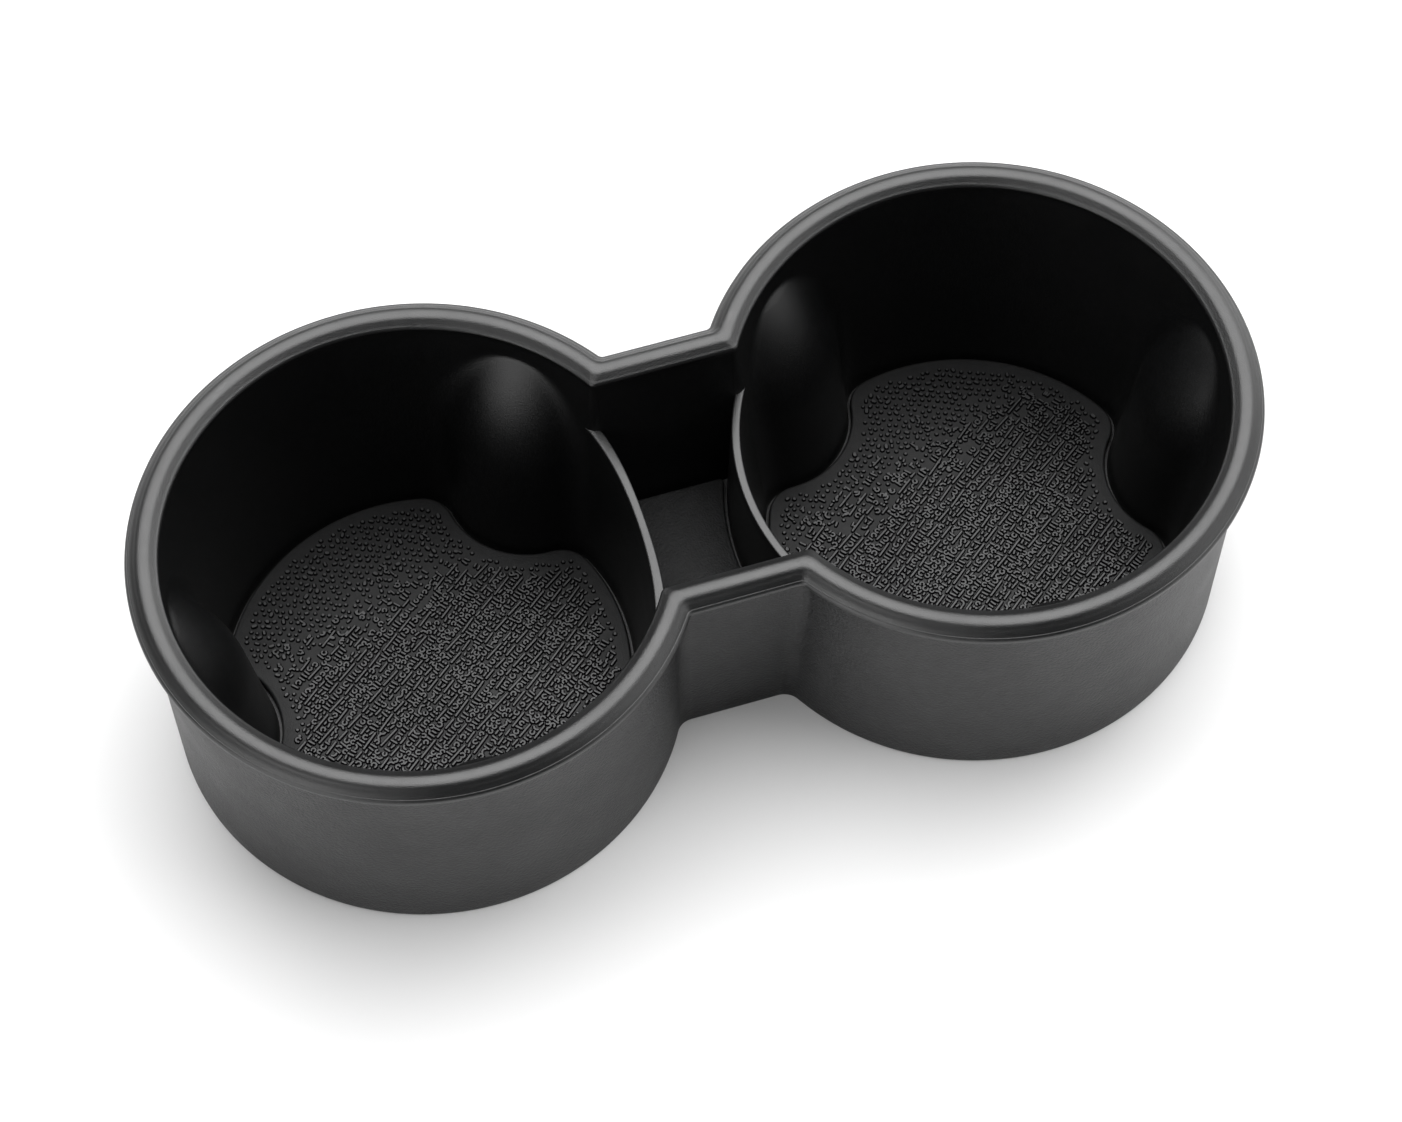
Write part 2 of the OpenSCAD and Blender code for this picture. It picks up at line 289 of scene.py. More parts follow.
def rim_section():
    """Section from the flare's foot over lip, sloped shoulder and broad crown to the small bead at
    the mouth, as (out, up) from the mouth's edge."""
    lip = arc((RIM_W - LIP_ROUND, LIP_Z + 0.3), LIP_ROUND, -62, 62, 10)
    flare_top = (SKIRT_AT + FLARE_OUT * 0.9, FLARE_Z)
    parts = [
        curve((SKIRT_AT, RIM_FOOT), (SKIRT_AT, FLARE_Z - 2.2), flare_top, 8),
        curve(flare_top, (flare_top[0] + 0.05, FLARE_Z + 0.4), lip[0], 4),
        lip,
    ]
    start = lip[-1]
    for towards, end, steps in RIM_BENDS:
        parts.append(curve(start, towards, end, steps))
        start = end
    return np.vstack([parts[0]] + [part[1:] for part in parts[1:]])


# ---------------------------------------------------------------- meshes
def vertices(bm, points):
    """New vertices at points given in millimetres."""
    return [bm.verts.new(Vector(p) * MM) for p in np.asarray(points, float)]


def join_rings(bm, low, high, finish, closed=True):
    """Quads between two rows of vertices."""
    n = len(low)
    for i in range(n if closed else n - 1):
        j = (i + 1) % n
        face = bm.faces.new((low[i], low[j], high[j], high[i]))
        face.material_index = finish


def fill(bm, loop, finish):
    """One flat face inside a closed row of vertices."""
    face = bm.faces.new(loop)
    face.material_index = finish


def finish_mesh(name, bm, materials, crease=35):
    """Turns the working mesh into an object, smooth except over sharp edges."""
    bmesh.ops.recalc_face_normals(bm, faces=bm.faces)
    mesh = bpy.data.meshes.new(name)
    bm.to_mesh(mesh)
    bm.free()
    for material in materials:
        mesh.materials.append(material)
    mesh.shade_smooth()
    mesh.set_sharp_from_angle(angle=math.radians(crease))
    obj = bpy.data.objects.new(name, mesh)
    bpy.context.scene.collection.objects.link(obj)
    return obj


def apply_modifiers(obj):
    """Replaces an object's mesh by the result of its modifiers."""
    bpy.context.view_layer.update()
    depsgraph = bpy.context.evaluated_depsgraph_get()
    made = bpy.data.meshes.new_from_object(obj.evaluated_get(depsgraph))
    obj.modifiers.clear()
    obj.data = made


def cup_lower_rows(bm, shared, side):
    """Rows of a cup's inner wall below the partition, down to its floor. shared are the vertices
    of the wall above that the cup keeps; the row goes on along the partition's cup side."""
    kept = np.linspace(-EDGE_TURN, EDGE_TURN, 2 * CUP_STEPS + 1)
    along = np.linspace(EDGE_TURN, 2 * math.pi - EDGE_TURN, PARTITION_STEPS + 1)[1:-1]
    angles = np.r_[kept, along]

    def points(z, which):
        r = cup_edge(which, wall_r(z), lobe_depth(z))
        r[-len(along):] -= partition_ease(z, along, side)
        return np.c_[side * (CUP_X + r * np.cos(which)), r * np.sin(which), np.full(len(which), z)]

    partition_top = vertices(bm, points(PARTITION_Z, along))
    row = shared + partition_top
    heights = np.r_[
        np.linspace(PARTITION_Z, LOBE_FULL, 13)[1:],
        np.linspace(LOBE_FULL, FLOOR_Z, 8)[1:],
    ]
    for z in heights:
        below = vertices(bm, points(z, angles))
        join_rings(bm, below, row, INNER)
        row = below
    fill(bm, row, INNER)
    return partition_top


def tray_shell(bm):
    """The closed outer and inner surface of the tray, still flat underneath."""
    soft = bm.edges.layers.float.new("bevel_weight_edge")
    rows = []
    for a in np.radians(np.linspace(0, 90, 4)):
        z = FOOT_ROUND * (1 - math.cos(a))
        rows.append((skirt_level(z, FOOT_ROUND * (1 - math.sin(a))), OUTER))
    for z in np.linspace(FOOT_ROUND, RIM_FOOT, 14)[1:-1]:
        rows.append((skirt_level(z), OUTER))
    for d, z in rim_section():
        rows.append((parallel_level(d, z), OUTER if z <= FLARE_Z else RIM))
    for z in np.linspace(MOUTH_Z - 0.3, LOBE_TOP, 5):
        rows.append((inner_level(z), INNER))
    for z in LOBE_TOP - (LOBE_TOP - PARTITION_Z) * np.linspace(0, 1, 15)[1:] ** 1.3:
        rows.append((inner_level(z, lobe_depth(z)), INNER))

    row = vertices(bm, rows[0][0])
    fill(bm, row[::-1], OUTER)
    for points, finish in rows[1:]:
        above = vertices(bm, points)
        join_rings(bm, row, above, finish)
        row = above

    half = 2 * QUARTER
    end = CUP_STEPS + CORNER_STEPS
    right = [row[i % RING] for i in range(-CUP_STEPS, CUP_STEPS + 1)]
    left = [row[(half - i) % RING] for i in range(-CUP_STEPS, CUP_STEPS + 1)]
    tops = {1: cup_lower_rows(bm, right, 1), -1: cup_lower_rows(bm, left, -1)}
    back = row[end + 1 : half - end]
    front = row[half + end + 1 : RING - end]
    shares = np.array([v.co.x / MM for v in back]) / middle_end(PARTITION_Z)

    def middle_row(z):
        """Points round the middle compartment: back, left partition, front, right partition."""
        x, y = middle_end(z), half_at(z)
        r = partition_r(z)
        turn = math.atan2(y, x - CUP_X)
        a = np.linspace(turn, 2 * math.pi - turn, PARTITION_STEPS + 1)[1:-1]
        near = {}
        for cup in (1, -1):
            reach = r - partition_ease(PARTITION_Z, a, cup)
            near[cup] = np.c_[cup * (CUP_X + reach * np.cos(a)), reach * np.sin(a)]
        flat = np.vstack([
            np.c_[shares * x, np.full(len(shares), y)],
            near[-1],
            np.c_[-shares * x, np.full(len(shares), -y)],
            near[1][::-1],
        ])
        return np.c_[flat, np.full(len(flat), z)]

    points = middle_row(PARTITION_Z)
    side = len(shares)
    inner = PARTITION_STEPS - 1
    left_near = vertices(bm, points[side : side + inner])
    right_near = vertices(bm, points[-inner:])
    lower = back + left_near + front + right_near
    for z in np.linspace(PARTITION_Z, MIDDLE_FLOOR, 8)[1:]:
        below = vertices(bm, middle_row(z))
        join_rings(bm, below, lower, INNER)
        lower = below
    fill(bm, lower, INNER)

    # The partitions' tops: quads along the wall and a small ledge in each corner
    corner_rows = {
        (1, 1): row[CUP_STEPS : end + 1],
        (-1, 1): row[half - end : half - CUP_STEPS + 1][::-1],
        (-1, -1): row[half + CUP_STEPS : half + end + 1],
        (1, -1): row[RING - end : RING - CUP_STEPS + 1][::-1],
    }
    for side, near in (
        (1, [back[0]] + right_near[::-1] + [front[-1]]),
        (-1, [back[-1]] + left_near + [front[0]]),
    ):
        cup = [corner_rows[side, 1][0]] + tops[side] + [corner_rows[side, -1][0]]
        join_rings(bm, cup, near, RIM, closed=False)
        for a, b in list(zip(cup, cup[1:])) + list(zip(near, near[1:])):
            bm.edges.get((a, b))[soft] = 1.0
        for y, at in ((1, near[0]), (-1, near[-1])):
            fill(bm, corner_rows[side, y] + [at], RIM)


def revolve(name, centre, section, steps=96):
    """Closed round body from a section of (radius, height) points, first and last on the axis."""
    bm = bmesh.new()
    turns = np.linspace(0, 2 * math.pi, steps + 1)[:-1]
    start = bm.verts.new(Vector((centre[0], centre[1], section[0][1])) * MM)
    end = bm.verts.new(Vector((centre[0], centre[1], section[-1][1])) * MM)
    row = None
    for r, z in section[1:-1]:
        ring = np.c_[centre[0] + r * np.cos(turns), centre[1] + r * np.sin(turns), np.full(steps, z)]
        above = vertices(bm, ring)
        if row is None:
            for i in range(steps):
                bm.faces.new((start, above[(i + 1) % steps], above[i]))
        else:
            join_rings(bm, row, above, 0)
        row = above
    for i in range(steps):
        bm.faces.new((end, row[i], row[(i + 1) % steps]))
    return finish_mesh(name, bm, [])


def block(name, low, high):
    """Closed box between two corners."""
    bm = bmesh.new()
    bmesh.ops.create_cube(bm, size=1.0)
    low, high = Vector(low), Vector(high)
    for v in bm.verts:
        v.co = Vector(low[k] + (v.co[k] + 0.5) * (high[k] - low[k]) for k in range(3)) * MM
    return finish_mesh(name, bm, [])


def combine(obj, other, operation):
    """Joins, cuts or crosses one closed body with another, which is used up."""
    step = obj.modifiers.new("combine", "BOOLEAN")
    step.operation = operation
    step.solver = "EXACT"
    step.object = other
    apply_modifiers(obj)
    bpy.data.objects.remove(other)


def drum(name, x, r, low, high):
    """Upright cylinder about a cup's centre."""
    return revolve(name, (x, 0), [(0, low), (r, low), (r, high), (0, high)], 192)


def lobe_pocket(side, turn):
    """Hollow behind one lobe, open from below, with a blunt tip."""
    nose_x = wall_r(FLOOR_Z) - LOBE_OUT + LOBE_R
    tip_z = LOBE_FULL + LOBE_RISE * 0.45
    at_full = nose_x - (wall_r(LOBE_FULL) - LOBE_OUT + LINER_WALL)
    at_tip = nose_x - (wall_r(tip_z) - lobe_depth(tip_z) + LINER_WALL) - 0.5
    centre = (side * (CUP_X + nose_x * math.cos(turn)), nose_x * math.sin(turn))
    pocket = revolve("pocket", centre, [
        (0, -1), (LOBE_R - LINER_WALL, -1),
        (at_full, LOBE_FULL), (max(2, at_tip), tip_z), (0, tip_z),
    ])
    combine(pocket, drum("reach", side * CUP_X, SKIRT_IN - 0.4, -2, HEIGHT), "INTERSECT")
    return pocket


def hollow_underside(tray):
    """Cuts the open underside: a slot round each cup, the pockets behind the lobes and the room
    under the middle compartment."""
    slot_top = MOUTH_Z - (MOUTH_R + LINER_WALL - SKIRT_IN + SLOT_MIN) / SLOPE
    under = MIDDLE_FLOOR - FLOOR_WALL
    low = BRIDGE_FOOT - SKIRT_WALL
    kept = CORNER_X + CORNER_R
    void = block("under_middle", (-CUP_X / 2, -low, -1), (CUP_X / 2, low, under))
    for side in (1, -1):
        combine(void, drum("slot", side * CUP_X, SKIRT_IN, -1.1, slot_top), "UNION")
    stand = block("stand", (-kept, -CORNER_Y, under), (kept, CORNER_Y, HEIGHT))
    for side in (1, -1):
        x = side * CUP_X
        combine(stand, drum("stand_end", x, wall_r(PARTITION_Z), 0, 2 * HEIGHT), "DIFFERENCE")
        cup = [(0, FLOOR_LIFT), (wall_r(FLOOR_LIFT) + LINER_WALL, FLOOR_LIFT),
               (wall_r(HEIGHT) + LINER_WALL, HEIGHT), (0, HEIGHT)]
        combine(void, revolve("cup_wall", (x, 0), cup, 192), "DIFFERENCE")
    combine(void, stand, "DIFFERENCE")
    for side in (1, -1):
        for turn in LOBE_TURNS:
            combine(void, lobe_pocket(side, math.radians(turn)), "UNION")
    combine(tray, void, "DIFFERENCE")


# ---------------------------------------------------------------- shader groups and materials
def group_tree(name, inputs, outputs):
    """An empty shader group with named sockets; inputs are (name, default)."""
    tree = bpy.data.node_groups.new(name, "ShaderNodeTree")
    for label, value in inputs:
        socket = tree.interface.new_socket(label, in_out="INPUT", socket_type="NodeSocketFloat")
        socket.default_value = value
    for label in outputs:
        tree.interface.new_socket(label, in_out="OUTPUT", socket_type="NodeSocketFloat")
    return tree


def add(tree, kind, links=(), **values):
    """A node with its settings; links are (input, source socket or number)."""
    node = tree.nodes.new(kind)
    for key, value in values.items():
        setattr(node, key, value)
    for key, source in links:
        socket = node.inputs[key]
        if isinstance(source, bpy.types.NodeSocket):
            tree.links.new(source, socket)
        else:
            socket.default_value = source
    return node


def maths(tree, operation, a, b=0.0, clamp=False):
    """Output of a Math node."""
    node = add(tree, "ShaderNodeMath", [(0, a), (1, b)], operation=operation, use_clamp=clamp)
    return node.outputs[0]


def noise(tree, where, scale, detail=2.0, rough=0.5):
    """Output of a noise, in cycles per metre."""
    return add(tree, "ShaderNodeTexNoise", [
        ("Vector", where), ("Scale", scale), ("Detail", detail), ("Roughness", rough),
    ]).outputs["Fac"]


def spread(tree, value, low, high, to_low=0.0, to_high=1.0):
    """A value mapped from one range to another, clamped."""
    return add(tree, "ShaderNodeMapRange", [
        ("Value", value), ("From Min", low), ("From Max", high),
        ("To Min", to_low), ("To Max", to_high),
    ]).outputs["Result"]


def grain_group():
    """Fine moulded grain: a height for bump and a tone for colour and roughness."""
    tree = group_tree("moulded grain", [("Size", 3200.0), ("Softness", 0.5)], ["Height", "Tone"])
    start = tree.nodes.new("NodeGroupInput")
    end = tree.nodes.new("NodeGroupOutput")
    where = tree.nodes.new("ShaderNodeTexCoord").outputs["Object"]
    size = start.outputs["Size"]
    pebbles = add(tree, "ShaderNodeTexVoronoi", [
        ("Vector", where), ("Scale", size),
    ], feature="SMOOTH_F1")
    cells = maths(tree, "SUBTRACT", 1.0, pebbles.outputs["Distance"])
    fine = noise(tree, where, maths(tree, "MULTIPLY", size, 1.7), 3.0, 0.6)
    height = add(tree, "ShaderNodeMix", [(0, start.outputs["Softness"]), (2, cells), (3, fine)])
    tree.links.new(height.outputs[0], end.inputs["Height"])
    patch = noise(tree, where, maths(tree, "MULTIPLY", size, 0.22), 3.0, 0.55)
    tree.links.new(spread(tree, patch, 0.3, 0.7), end.inputs["Tone"])
    return tree


def wear_group():
    """Edges that hands have polished: a mask over convex edges, broken by a noise."""
    tree = group_tree("edge wear", [("Amount", 0.5), ("Patch Size", 260.0)], ["Mask"])
    start = tree.nodes.new("NodeGroupInput")
    end = tree.nodes.new("NodeGroupOutput")
    where = tree.nodes.new("ShaderNodeTexCoord").outputs["Object"]
    pointy = tree.nodes.new("ShaderNodeNewGeometry").outputs["Pointiness"]
    edge = spread(tree, pointy, 0.505, 0.56)
    broken = noise(tree, where, start.outputs["Patch Size"], 4.0, 0.65)
    patch = spread(tree, broken, 0.35, 0.7, 0.25, 1.0)
    worn = maths(tree, "MULTIPLY", edge, patch)
    mask = maths(tree, "MULTIPLY", worn, start.outputs["Amount"], True)
    tree.links.new(mask, end.inputs["Mask"])
    return tree


def handling_group():
    """Broad patches where the gloss changes a little, with faint fine streaks."""
    tree = group_tree("handling marks", [("Patch Size", 45.0), ("Streaks", 0.3)], ["Value"])
    start = tree.nodes.new("NodeGroupInput")
    end = tree.nodes.new("NodeGroupOutput")
    where = tree.nodes.new("ShaderNodeTexCoord").outputs["Object"]
    patch = noise(tree, where, start.outputs["Patch Size"], 3.0, 0.6)
    pulled = add(tree, "ShaderNodeMapping", [("Vector", where), ("Scale", (1.0, 1.0, 9.0))])
    streak = noise(tree, pulled.outputs[0], 420.0, 3.0, 0.7)
    both = add(tree, "ShaderNodeMix", [(0, start.outputs["Streaks"]), (2, patch), (3, streak)])
    tree.links.new(spread(tree, both.outputs[0], 0.3, 0.7), end.inputs["Value"])
    return tree


GROUPS = {}


def shared(tree, name, **values):
    """Places a shared group in a material with its own values."""
    if not GROUPS:
        GROUPS.update(grain=grain_group(), wear=wear_group(), handling=handling_group())
    node = tree.nodes.new("ShaderNodeGroup")
    node.node_tree = GROUPS[name]
    for key, value in values.items():
        node.inputs[key.replace("_", " ")].default_value = value
    return node


def moulded(name, dark, pale, rough, grain, depth, wear, streaks, shine=0.5, softness=0.5):
    """A black moulded finish: grain, polished edges and handling marks. dark and pale are the
    colour's two ends, rough its roughness at both, depth in metres, shine the specular level."""
    material = bpy.data.materials.new(name)
    material.use_nodes = True
    tree = material.node_tree
    shader = tree.nodes["Principled BSDF"]
    texture = shared(tree, "grain", Size=grain, Softness=softness)
    edge = shared(tree, "wear", Amount=wear)
    marks = shared(tree, "handling", Streaks=streaks)
    tone = add(tree, "ShaderNodeMix", [
        (0, texture.outputs["Tone"]), (6, (*dark, 1)), (7, (*pale, 1)),
    ], data_type="RGBA")
    worn = tuple(min(1.0, 2.2 * c + 0.01) for c in pale)
    colour = add(tree, "ShaderNodeMix", [
        (0, edge.outputs["Mask"]), (6, tone.outputs[2]), (7, (*worn, 1)),
    ], data_type="RGBA")
    tree.links.new(colour.outputs[2], shader.inputs["Base Color"])
    gloss = spread(tree, marks.outputs["Value"], 0.0, 1.0, rough[0], rough[1])
    polished = maths(tree, "MULTIPLY", edge.outputs["Mask"], 0.12)
    tree.links.new(maths(tree, "SUBTRACT", gloss, polished, True), shader.inputs["Roughness"])
    bump = add(tree, "ShaderNodeBump", [
        ("Height", texture.outputs["Height"]), ("Strength", 1.0), ("Distance", depth),
    ])
    tree.links.new(bump.outputs[0], shader.inputs["Normal"])
    shader.inputs["Specular IOR Level"].default_value = shine
    return material


# ---------------------------------------------------------------- mats
def mat_outline(inset, steps=360):
    """Outline of a cup mat about the cup's centre, drawn in by a true distance."""
    a = np.linspace(0, 2 * math.pi, steps + 1)[:-1]
    r = cup_edge(a, wall_r(FLOOR_Z) - MAT_GAP, LOBE_OUT)
    p = np.c_[r * np.cos(a), r * np.sin(a)]
    run = np.roll(p, -1, axis=0) - np.roll(p, 1, axis=0)
    inward = np.c_[-run[:, 1], run[:, 0]] / np.linalg.norm(run, axis=1)[:, None]
    return p + inward * inset


def slab(bm, outline, low, high, soft_r, finish=0):
    """A flat piece with rounded upper and lower edges. outline(inset) gives its points."""
    rows = []
    for a in np.radians(np.linspace(0, 90, 4)):
        rows.append((soft_r * 0.5 * (1 - math.sin(a)), low + soft_r * 0.5 * (1 - math.cos(a))))
    for a in np.radians(np.linspace(0, 90, 6)):
        rows.append((soft_r * (1 - math.cos(a)), high - soft_r * (1 - math.sin(a))))
    row = None
    for inset, z in rows:
        flat = outline(inset)
        above = vertices(bm, np.c_[flat, np.full(len(flat), z)])
        if row is None:
            fill(bm, above[::-1], finish)
        else:
            join_rings(bm, row, above, finish)
        row = above
    fill(bm, row, finish)


def stroke_points(path, width, turn):
    """Outline of a mark along a short path, with rounded ends, turned about its middle."""
    run = np.gradient(path, axis=0)
    run /= np.linalg.norm(run, axis=1)[:, None]
    side = np.c_[-run[:, 1], run[:, 0]] * width / 2
    half = width / 2
    tip = run[-1] * half
    heel = -run[0] * half
    p = np.vstack([
        path + side,
        path[-1] + tip * 0.8 + side[-1] * 0.55,
        path[-1] + tip * 0.8 - side[-1] * 0.55,
        (path - side)[::-1],
        path[0] + heel * 0.8 - side[0] * 0.55,
        path[0] + heel * 0.8 + side[0] * 0.55,
    ])
    c, s = math.cos(turn), math.sin(turn)
    return np.c_[p[:, 0] * c - p[:, 1] * s, p[:, 0] * s + p[:, 1] * c]


def mark_path(kind, length):
    """Middle line of a mark about its own centre."""
    if kind == "dot":
        return np.array([(-0.04, 0), (0.04, 0)])
    if kind == "hook":
        a = np.radians(np.linspace(-130, 130, 7))
        return length * 0.36 * np.c_[np.cos(a), np.sin(a)]
    bend = {"rib": 0.0, "bar": 0.0, "bent": 0.28}[kind]
    x = np.linspace(-0.5, 0.5, 4 if bend else 2)
    return length * np.c_[x, bend * np.cos(x * math.pi)]


def emboss(bm, at, mark, low, high):
    """One raised mark, sunk a little into the mat: flanks painted dark as shade and a top painted
    lighter as a highlight.
    """
    kind, _, turn, length, width = mark
    path = mark_path(kind, length)
    foot = stroke_points(path, width + MARK_FOOT, turn) + at
    top = stroke_points(path, width - MARK_TOP, turn) + at
    n = len(foot)
    below = vertices(bm, np.c_[foot, np.full(n, low)])
    above = vertices(bm, np.c_[top, np.full(n, high)])
    # The flanks take the painted shade finish, the top the painted highlight finish
    join_rings(bm, below, above, 2)
    fill(bm, below[::-1], 2)
    fill(bm, above, 1)


def inside_by(points, outline):
    """Distance inside a closed outline, negative outside."""
    a = outline
    d = np.roll(a, -1, axis=0) - a
    rel = points[:, None, :] - a[None]
    t = np.clip((rel * d).sum(2) / (d**2).sum(1), 0, 1)
    near = np.linalg.norm(rel - t[..., None] * d, axis=2).min(1)
    r = np.hypot(points[:, 0], points[:, 1])
    angle = np.arctan2(points[:, 1], points[:, 0]) % (2 * math.pi)
    turns = np.arctan2(a[:, 1], a[:, 0]) % (2 * math.pi)
    order = np.argsort(turns)
    limit = np.interp(angle, turns[order], np.hypot(a[:, 0], a[:, 1])[order], period=2 * math.pi)
    return np.where(r < limit, near, -near)


def mat_marks(seed):
    """Raised marks about the cup's centre: (kind, place, turn, length, width). Rows of ribs and
    hooks with short marks between them for the middle and front, and dots for the far edge."""
    draw = np.random.default_rng(seed)
    row_turn = math.radians(ROW_TURN)
    along = np.array([math.cos(row_turn), math.sin(row_turn)])
    across = np.array([-along[1], along[0]])
    marks = []
    for i in range(-18, 19):
        v = i * ROW_PITCH + draw.uniform(-0.08, 0.08)
        u = -MARK_REACH + draw.uniform(0, 4)
        while u < MARK_REACH:
            length = draw.uniform(1.6, 5.0)
            turn = row_turn + draw.uniform(-0.07, 0.07)
            at = along * (u + length / 2) + across * (v + draw.uniform(-0.12, 0.12))
            if draw.random() < 0.72:
                marks.append(("rib", at, turn, length - 0.8, 0.33))
            else:
                for step in np.arange(-length / 2 + 0.6, length / 2 - 0.3, 1.15):
                    spot = at + along * step
                    marks.append(("hook", spot, draw.uniform(0, 2 * math.pi), 1.05, 0.32))
            u += length
        u = -MARK_REACH + draw.uniform(0, 1)
        while u < MARK_REACH:
            middle = along * u + across * (v + ROW_PITCH / 2)
            choice = draw.random()
            if choice < 0.36:
                turn = row_turn + math.pi / 2 + draw.uniform(-0.15, 0.15)
                marks.append(("bar", middle, turn, draw.uniform(0.7, 1.2), 0.33))
                u += 0.76
            elif choice < 0.54:
                for k in (-1, 1):
                    at = middle + across * k * 0.4 + along * 0.3
                    turn = row_turn + draw.uniform(-0.3, 0.3)
                    marks.append(("bar", at, turn, draw.uniform(0.4, 0.8), 0.33))
                u += 1.2
            elif choice < 0.78:
                at = middle + across * draw.uniform(-0.15, 0.15) + along * 0.2
                turn = draw.uniform(0, 2 * math.pi)
                marks.append(("hook", at, turn, draw.uniform(1.0, 1.3), 0.34))
                u += 1.15
            elif choice < 0.91:
                at = middle + across * draw.uniform(-0.3, 0.3) + along * 0.1
                turn = draw.uniform(0, 2 * math.pi)
                marks.append(("bent", at, turn, draw.uniform(0.8, 1.1), 0.36))
                u += 0.95
            else:
                for k in (-1, 0.25):
                    marks.append(("dot", middle + across * k * 0.42, 0, 0, 0.46))
                u += 0.75
    dots = []
    for i in range(-31, 32):
        for j in range(-31, 32):
            at = along * (j * DOT_STEP + (i % 2) * DOT_STEP / 2) + across * (i * DOT_ROW)
            kind = "dot" if draw.random() < 0.7 else "bar"
            turn = draw.uniform(0, 2 * math.pi)
            at = at + draw.uniform(-0.26, 0.26, 2)
            dots.append((kind, at, turn, draw.uniform(0.25, 0.55), draw.uniform(0.38, 0.6)))
    return marks, dots


def cup_mat(name, side, seed, materials):
    """One cup mat: a soft slab with a plain border and raised marks."""
    bm = bmesh.new()
    centre = np.array([side * CUP_X, 0])
    top = FLOOR_Z + MAT_T
    face_z = top - MARK_RISE

    def outline(inset):
        flat = mat_outline(inset)
        return flat + centre if side > 0 else flat[::-1] * (-1, 1) + centre

    slab(bm, outline, FLOOR_Z, face_z, MAT_ROUND)
    edge = outline(0.0) - centre
    draw = np.random.default_rng(seed + 7)
    for group, dotted in zip(mat_marks(seed), (False, True)):
        where = np.array([m[1] for m in group])
        lengths = np.array([m[3] for m in group])
        turns = np.array([m[2] for m in group])
        tip = np.c_[np.cos(turns), np.sin(turns)] * lengths[:, None] / 2
        room = np.minimum(inside_by(where + tip, edge), inside_by(where - tip, edge))
        # Dots take over towards the far edge, with a ragged border between the two
        back = where[:, 1] - DOTS_SLANT * where[:, 0]
        far = back + draw.normal(0, DOTS_RAGGED, len(group)) > DOTS_FROM
        near_edge = (room < MAT_EDGE_ZONE) & (where[:, 1] > -6)
        for k, mark in enumerate(group):
            if room[k] > MAT_BORDER and (far[k] or near_edge[k]) == dotted:
                rise = draw.uniform(0.75, 1.0) * (top - face_z)
                emboss(bm, where[k] + centre, mark, face_z - MARK_SUNK, face_z + rise)
    return finish_mesh(name, bm, materials, 40)


def middle_outline(inset):
    """Outline of the middle mat between the partitions, with small round corners."""
    half = HALF_W - (MOUTH_Z - MIDDLE_FLOOR) * SLOPE - MAT_GAP - inset
    r = partition_r(MIDDLE_FLOOR) + MAT_GAP + inset
    corner = max(0.05, MIDDLE_MAT_CORNER - inset)
    # The corner's circle touches the straight edge and the partition's round from outside
    y = half - corner
    x = CUP_X - math.sqrt((r + corner) ** 2 - y**2)
    to_cup = math.atan2(-y, CUP_X - x)
    a = np.linspace(to_cup, math.pi / 2, 7)
    round_off = np.c_[x + corner * np.cos(a), y + corner * np.sin(a)]
    turn = math.atan2(round_off[0][1], round_off[0][0] - CUP_X)
    b = np.linspace(math.pi, turn, 15)[:-1]
    side = np.c_[CUP_X + r * np.cos(b), r * np.sin(b)]
    quarter = np.vstack([side, round_off])
    back = quarter[::-1]
    whole = np.vstack([quarter, back * (-1, 1), quarter[1:] * (-1, -1), back[:-1] * (1, -1)])
    ease = LEFT_EASE * np.cos(np.abs(whole[:, 1]) / half_at(MIDDLE_FLOOR) * math.pi / 2)
    whole[:, 0] -= np.where(whole[:, 0] < 0, ease, 0.0)
    return whole


# ---------------------------------------------------------------- camera and studio
# Camera, fitted to the photograph: aim and distance in millimetres, angles in degrees
CAMERA_AIM = (-1.04, -3.53, 25.0)
CAMERA_DISTANCE = 725.9
CAMERA_TURNS = (60.30, -16.88, -0.30)  # down, round, roll
LENS = 105.75
SENSOR = 36.0
# Lamp overhead: place, point it faces, size in metres, watts
KEY_LAMP = ((0.28, 0.64, 1.8), (0, 0, 0.02), (2.7, 2.3), 93.0)
TABLE_TONE = 0.78
TABLE_LIFT = 0.07  # added for the camera only, so that the table reads as white
# Surroundings: glow of the ring, heights (sine) between which it fades, share left in front
RING_GLOW = 0.3
RING_FADE = (0.25, 0.6)
FRONT_SHARE = 0.2
WORLD_BASE = 0.02
# Soft panels: direction, glow, inner and outer angle
PANELS = (
    ((0.82, 0.47, 0.33), 2.1, 10, 26),
    ((-0.78, -0.52, 0.36), 3.0, 10, 27),
    ((0.86, -0.34, 0.40), 1.9, 10, 25),
)


def camera_frame():
    """Camera place and axes: it looks down at the tray from the front, a little from the left."""
    target = Vector(CAMERA_AIM) * MM
    distance = CAMERA_DISTANCE * MM
    up_turn, side_turn, roll = (math.radians(v) for v in CAMERA_TURNS)
    back = Vector((
        math.sin(side_turn) * math.cos(up_turn),
        -math.cos(side_turn) * math.cos(up_turn),
        math.sin(up_turn),
    ))
    right = (-back).cross(Vector((0, 0, 1))).normalized()
    up = right.cross(-back)
    tilted_right = right * math.cos(roll) + up * math.sin(roll)
    tilted_up = up * math.cos(roll) - right * math.sin(roll)
    matrix = Matrix((tilted_right, tilted_up, back)).transposed().to_4x4()
    matrix.translation = target + back * distance
    return matrix


def add_camera():
    """Camera that shows the tray in the photograph's frame."""
    lens = bpy.data.cameras.new("camera")
    lens.lens = LENS
    lens.sensor_width = SENSOR
    lens.sensor_fit = "HORIZONTAL"
    lens.clip_start = 0.05
    lens.clip_end = 100.0
    camera = bpy.data.objects.new("camera", lens)
    camera.matrix_world = camera_frame()
    bpy.context.scene.collection.objects.link(camera)
    bpy.context.scene.camera = camera


